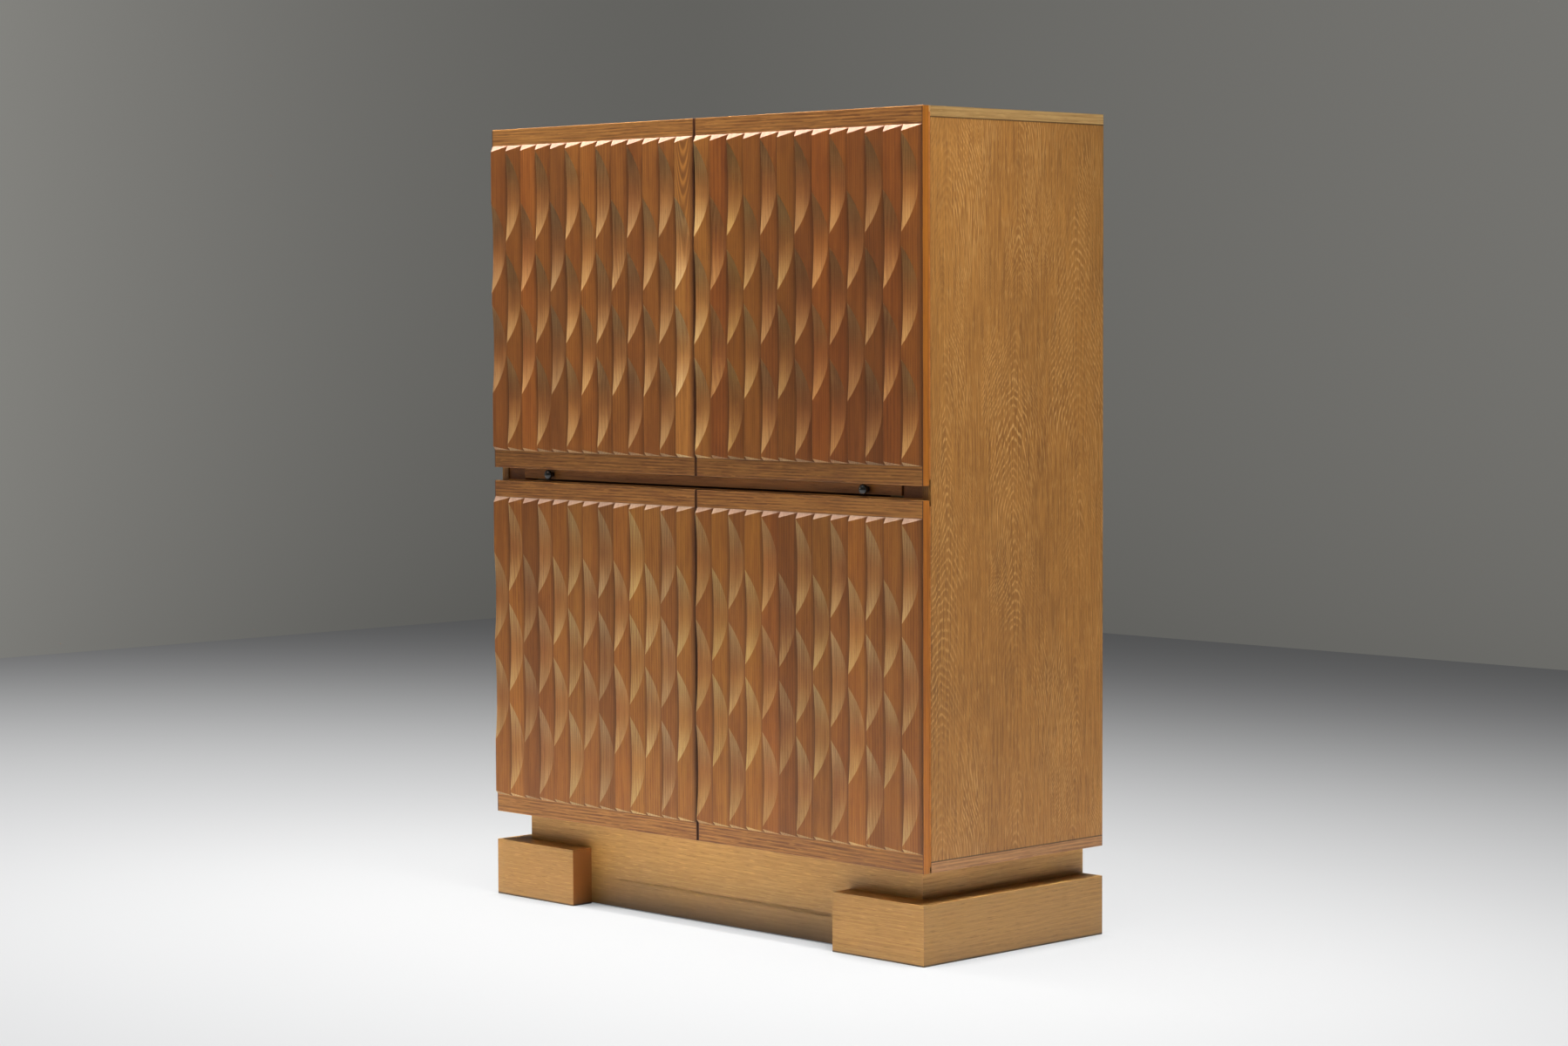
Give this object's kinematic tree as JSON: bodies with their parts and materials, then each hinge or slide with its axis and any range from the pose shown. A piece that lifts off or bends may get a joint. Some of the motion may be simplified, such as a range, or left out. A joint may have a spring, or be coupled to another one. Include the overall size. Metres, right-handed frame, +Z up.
{
  "type": "bar cabinet",
  "caption": "Tall oak cabinet with carved stave doors above and below a narrow pull-out serving leaf with black knobs, on a plinth with mitred block feet.",
  "frame": {"origin": "centre of the cabinet's footprint, on the floor", "axes": "+X to the right of a person who faces the doors, -Y out of the doors, +Z up"},
  "size_m": [1.101, 0.4594, 1.427],
  "materials": {
    "case_oak": "satin oiled oak, golden tan",
    "base_oak": "satin oiled oak, light golden",
    "rail_oak": "satin oiled oak, mid brown",
    "stave_oak": "satin oiled oak staves, mixed brown and red-brown",
    "edge_oak": "satin oak edging, orange brown",
    "leaf_oak": "satin oak, dark red-brown",
    "guide_oak": "matt, very dark brown",
    "plain_wood": "sanded, unfinished",
    "plywood": "sanded veneered board",
    "dark_bronze": "dark bronze, satin",
    "steel": "zinc-plated steel",
    "black_gloss": "high-gloss black",
    "black_plastic": "matt black"
  },
  "bodies": {
    "case": {"side_left": "case_oak", "side_right": "case_oak", "top_board": "case_oak", "bottom_board": "case_oak", "back_panel": "plywood", "divider_upper": "rail_oak", "divider_lower": "rail_oak", "leaf_guide_left": "guide_oak", "leaf_guide_right": "guide_oak", "leaf_runners": "plain_wood", "shelf_upper": "case_oak", "shelf_lower": "case_oak", "shelf_pins": "steel", "magnetic_catches": "black_plastic", "plinth_front": "base_oak", "plinth_back": "base_oak", "plinth_left": "base_oak", "plinth_right": "base_oak", "corner_blocks": "plain_wood", "foot_side_left": "base_oak", "foot_side_right": "base_oak", "foot_front_left": "base_oak", "foot_front_right": "base_oak", "hinge_plates_case": "dark_bronze", "hinge_pins": "dark_bronze", "hinge_screws_case": "dark_bronze", "back_screws": "steel", "foot_screws": "steel"},
    "leaf": {"leaf_board": "leaf_oak", "leaf_stops": "plain_wood", "leaf_knobs": "black_gloss", "knob_studs": "steel"},
    "door_upper_left": {"door_upper_left_core": "plywood", "door_upper_left_rails": "rail_oak", "door_upper_left_staves": "stave_oak", "door_upper_left_lippings": "edge_oak", "door_upper_left_hinge_plate": "dark_bronze", "door_upper_left_hinge_screws": "dark_bronze", "door_upper_left_strike": "steel"},
    "door_upper_right": {"door_upper_right_core": "plywood", "door_upper_right_rails": "rail_oak", "door_upper_right_staves": "stave_oak", "door_upper_right_lippings": "edge_oak", "door_upper_right_hinge_plate": "dark_bronze", "door_upper_right_hinge_screws": "dark_bronze", "door_upper_right_strike": "steel"},
    "door_lower_left": {"door_lower_left_core": "plywood", "door_lower_left_rails": "rail_oak", "door_lower_left_staves": "stave_oak", "door_lower_left_lippings": "edge_oak", "door_lower_left_hinge_plate": "dark_bronze", "door_lower_left_hinge_screws": "dark_bronze", "door_lower_left_strike": "steel"},
    "door_lower_right": {"door_lower_right_core": "plywood", "door_lower_right_rails": "rail_oak", "door_lower_right_staves": "stave_oak", "door_lower_right_lippings": "edge_oak", "door_lower_right_hinge_plate": "dark_bronze", "door_lower_right_hinge_screws": "dark_bronze", "door_lower_right_strike": "steel"}
  },
  "joints": [
    {"name": "door_upper_left_hinge", "type": "hinge", "parent": "case", "child": "door_upper_left", "pos_m": [-0.5487, -0.20735, 1.11425], "axis": [0, 0, -1], "range_deg": [0, 110]},
    {"name": "door_upper_right_hinge", "type": "hinge", "parent": "case", "child": "door_upper_right", "pos_m": [0.5487, -0.20735, 1.11425], "axis": [0, 0, 1], "range_deg": [0, 110]},
    {"name": "door_lower_left_hinge", "type": "hinge", "parent": "case", "child": "door_lower_left", "pos_m": [-0.5487, -0.20735, 0.4665], "axis": [0, 0, -1], "range_deg": [0, 110]},
    {"name": "door_lower_right_hinge", "type": "hinge", "parent": "case", "child": "door_lower_right", "pos_m": [0.5487, -0.20735, 0.4665], "axis": [0, 0, 1], "range_deg": [0, 110]},
    {"name": "leaf_slide", "type": "slide", "parent": "case", "child": "leaf", "axis": [0, -1, 0], "range_m": [0, 0.25]}
  ]
}
